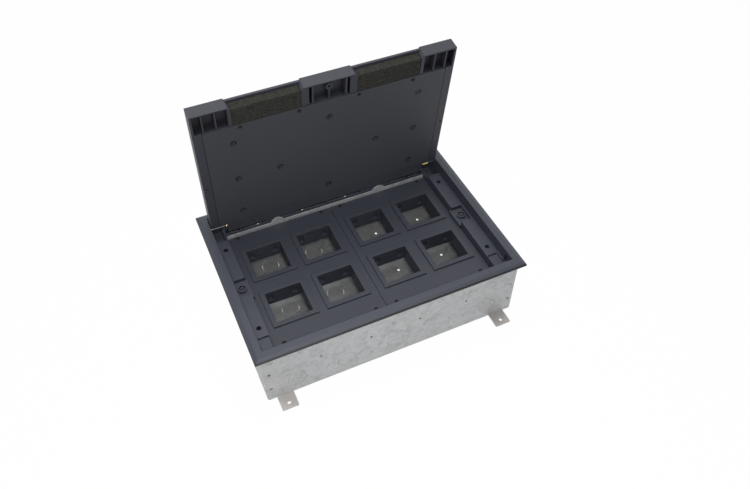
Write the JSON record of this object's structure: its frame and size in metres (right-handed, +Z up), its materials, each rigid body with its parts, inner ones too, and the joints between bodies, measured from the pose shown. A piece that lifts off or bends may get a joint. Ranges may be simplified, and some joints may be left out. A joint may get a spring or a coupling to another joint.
{
  "type": "floor socket box",
  "caption": "Rectangular recessed floor box with a galvanised shell on fixing feet, a bevelled trim frame, a hinged lid with cable outlets, and plates with square module openings.",
  "frame": {"origin": "on the structural floor under the middle of the box, level with the underside of the fixing feet", "axes": "+Z up, +X along the lid's hinge line to the right as seen from the front, +Y to the hinge side at the rear"},
  "size_m": [0.38, 0.298, 0.3185],
  "materials": {
    "galvanised_sheet": "spangled zinc",
    "foot_steel": "plain zinc",
    "rail_steel": "spangled zinc",
    "plated_steel": "zinc plated",
    "pin_steel": "turned",
    "black_screw": "black oxide",
    "brass": "turned",
    "frame_plastic": "fine texture",
    "plate_plastic": "fine texture",
    "lid_plastic": "fine texture",
    "flap_plastic": "fine texture",
    "lid_steel_black": "satin powder coat",
    "foam": "open-cell foam"
  },
  "bodies": {
    "box": {"back_box": "galvanised_sheet", "fixing_foot_front_left": "foot_steel", "fixing_foot_front_right": "foot_steel", "fixing_foot_rear_left": "foot_steel", "fixing_foot_rear_right": "foot_steel", "foot_rivets": "plated_steel", "frame_brackets": "galvanised_sheet", "levelling_nuts": "plated_steel", "floor_frame": "frame_plastic", "frame_screws": "black_screw", "levelling_screws": "black_screw", "socket_plate_left": "plate_plastic", "socket_plate_right": "plate_plastic", "plate_screws": "black_screw", "rear_rail": "rail_steel", "front_rail": "rail_steel", "rail_screws": "black_screw", "hinge_pin_left": "pin_steel", "hinge_pin_right": "pin_steel", "hinge_collar_right": "brass", "earth_stud": "brass", "earth_washers": "plated_steel", "earth_nuts": "brass"},
    "lid": {"lid_moulding": "lid_plastic", "lid_plate": "lid_steel_black", "lid_screws": "black_screw", "outlet_screws": "black_screw", "hinge_bush_left": "brass", "hinge_bush_right": "brass", "foam_pad_left": "foam", "foam_pad_right": "foam"},
    "flap_left": {"cable_flap_left": "flap_plastic"},
    "flap_right": {"cable_flap_right": "flap_plastic"}
  },
  "joints": [
    {"name": "lid_hinge", "type": "hinge", "parent": "box", "child": "lid", "pos_m": [0, 0.111, 0.0905], "axis": [-1, 0, 0], "range_deg": [-81.5, 16.5]},
    {"name": "cable_flap_left_hinge", "type": "hinge", "parent": "lid", "child": "flap_left", "pos_m": [-0.081, 0.08852, 0.29098], "axis": [-1, 0, 0], "range_deg": [0, 90]},
    {"name": "cable_flap_right_hinge", "type": "hinge", "parent": "lid", "child": "flap_right", "pos_m": [0.081, 0.08852, 0.29098], "axis": [-1, 0, 0], "range_deg": [0, 90]}
  ]
}
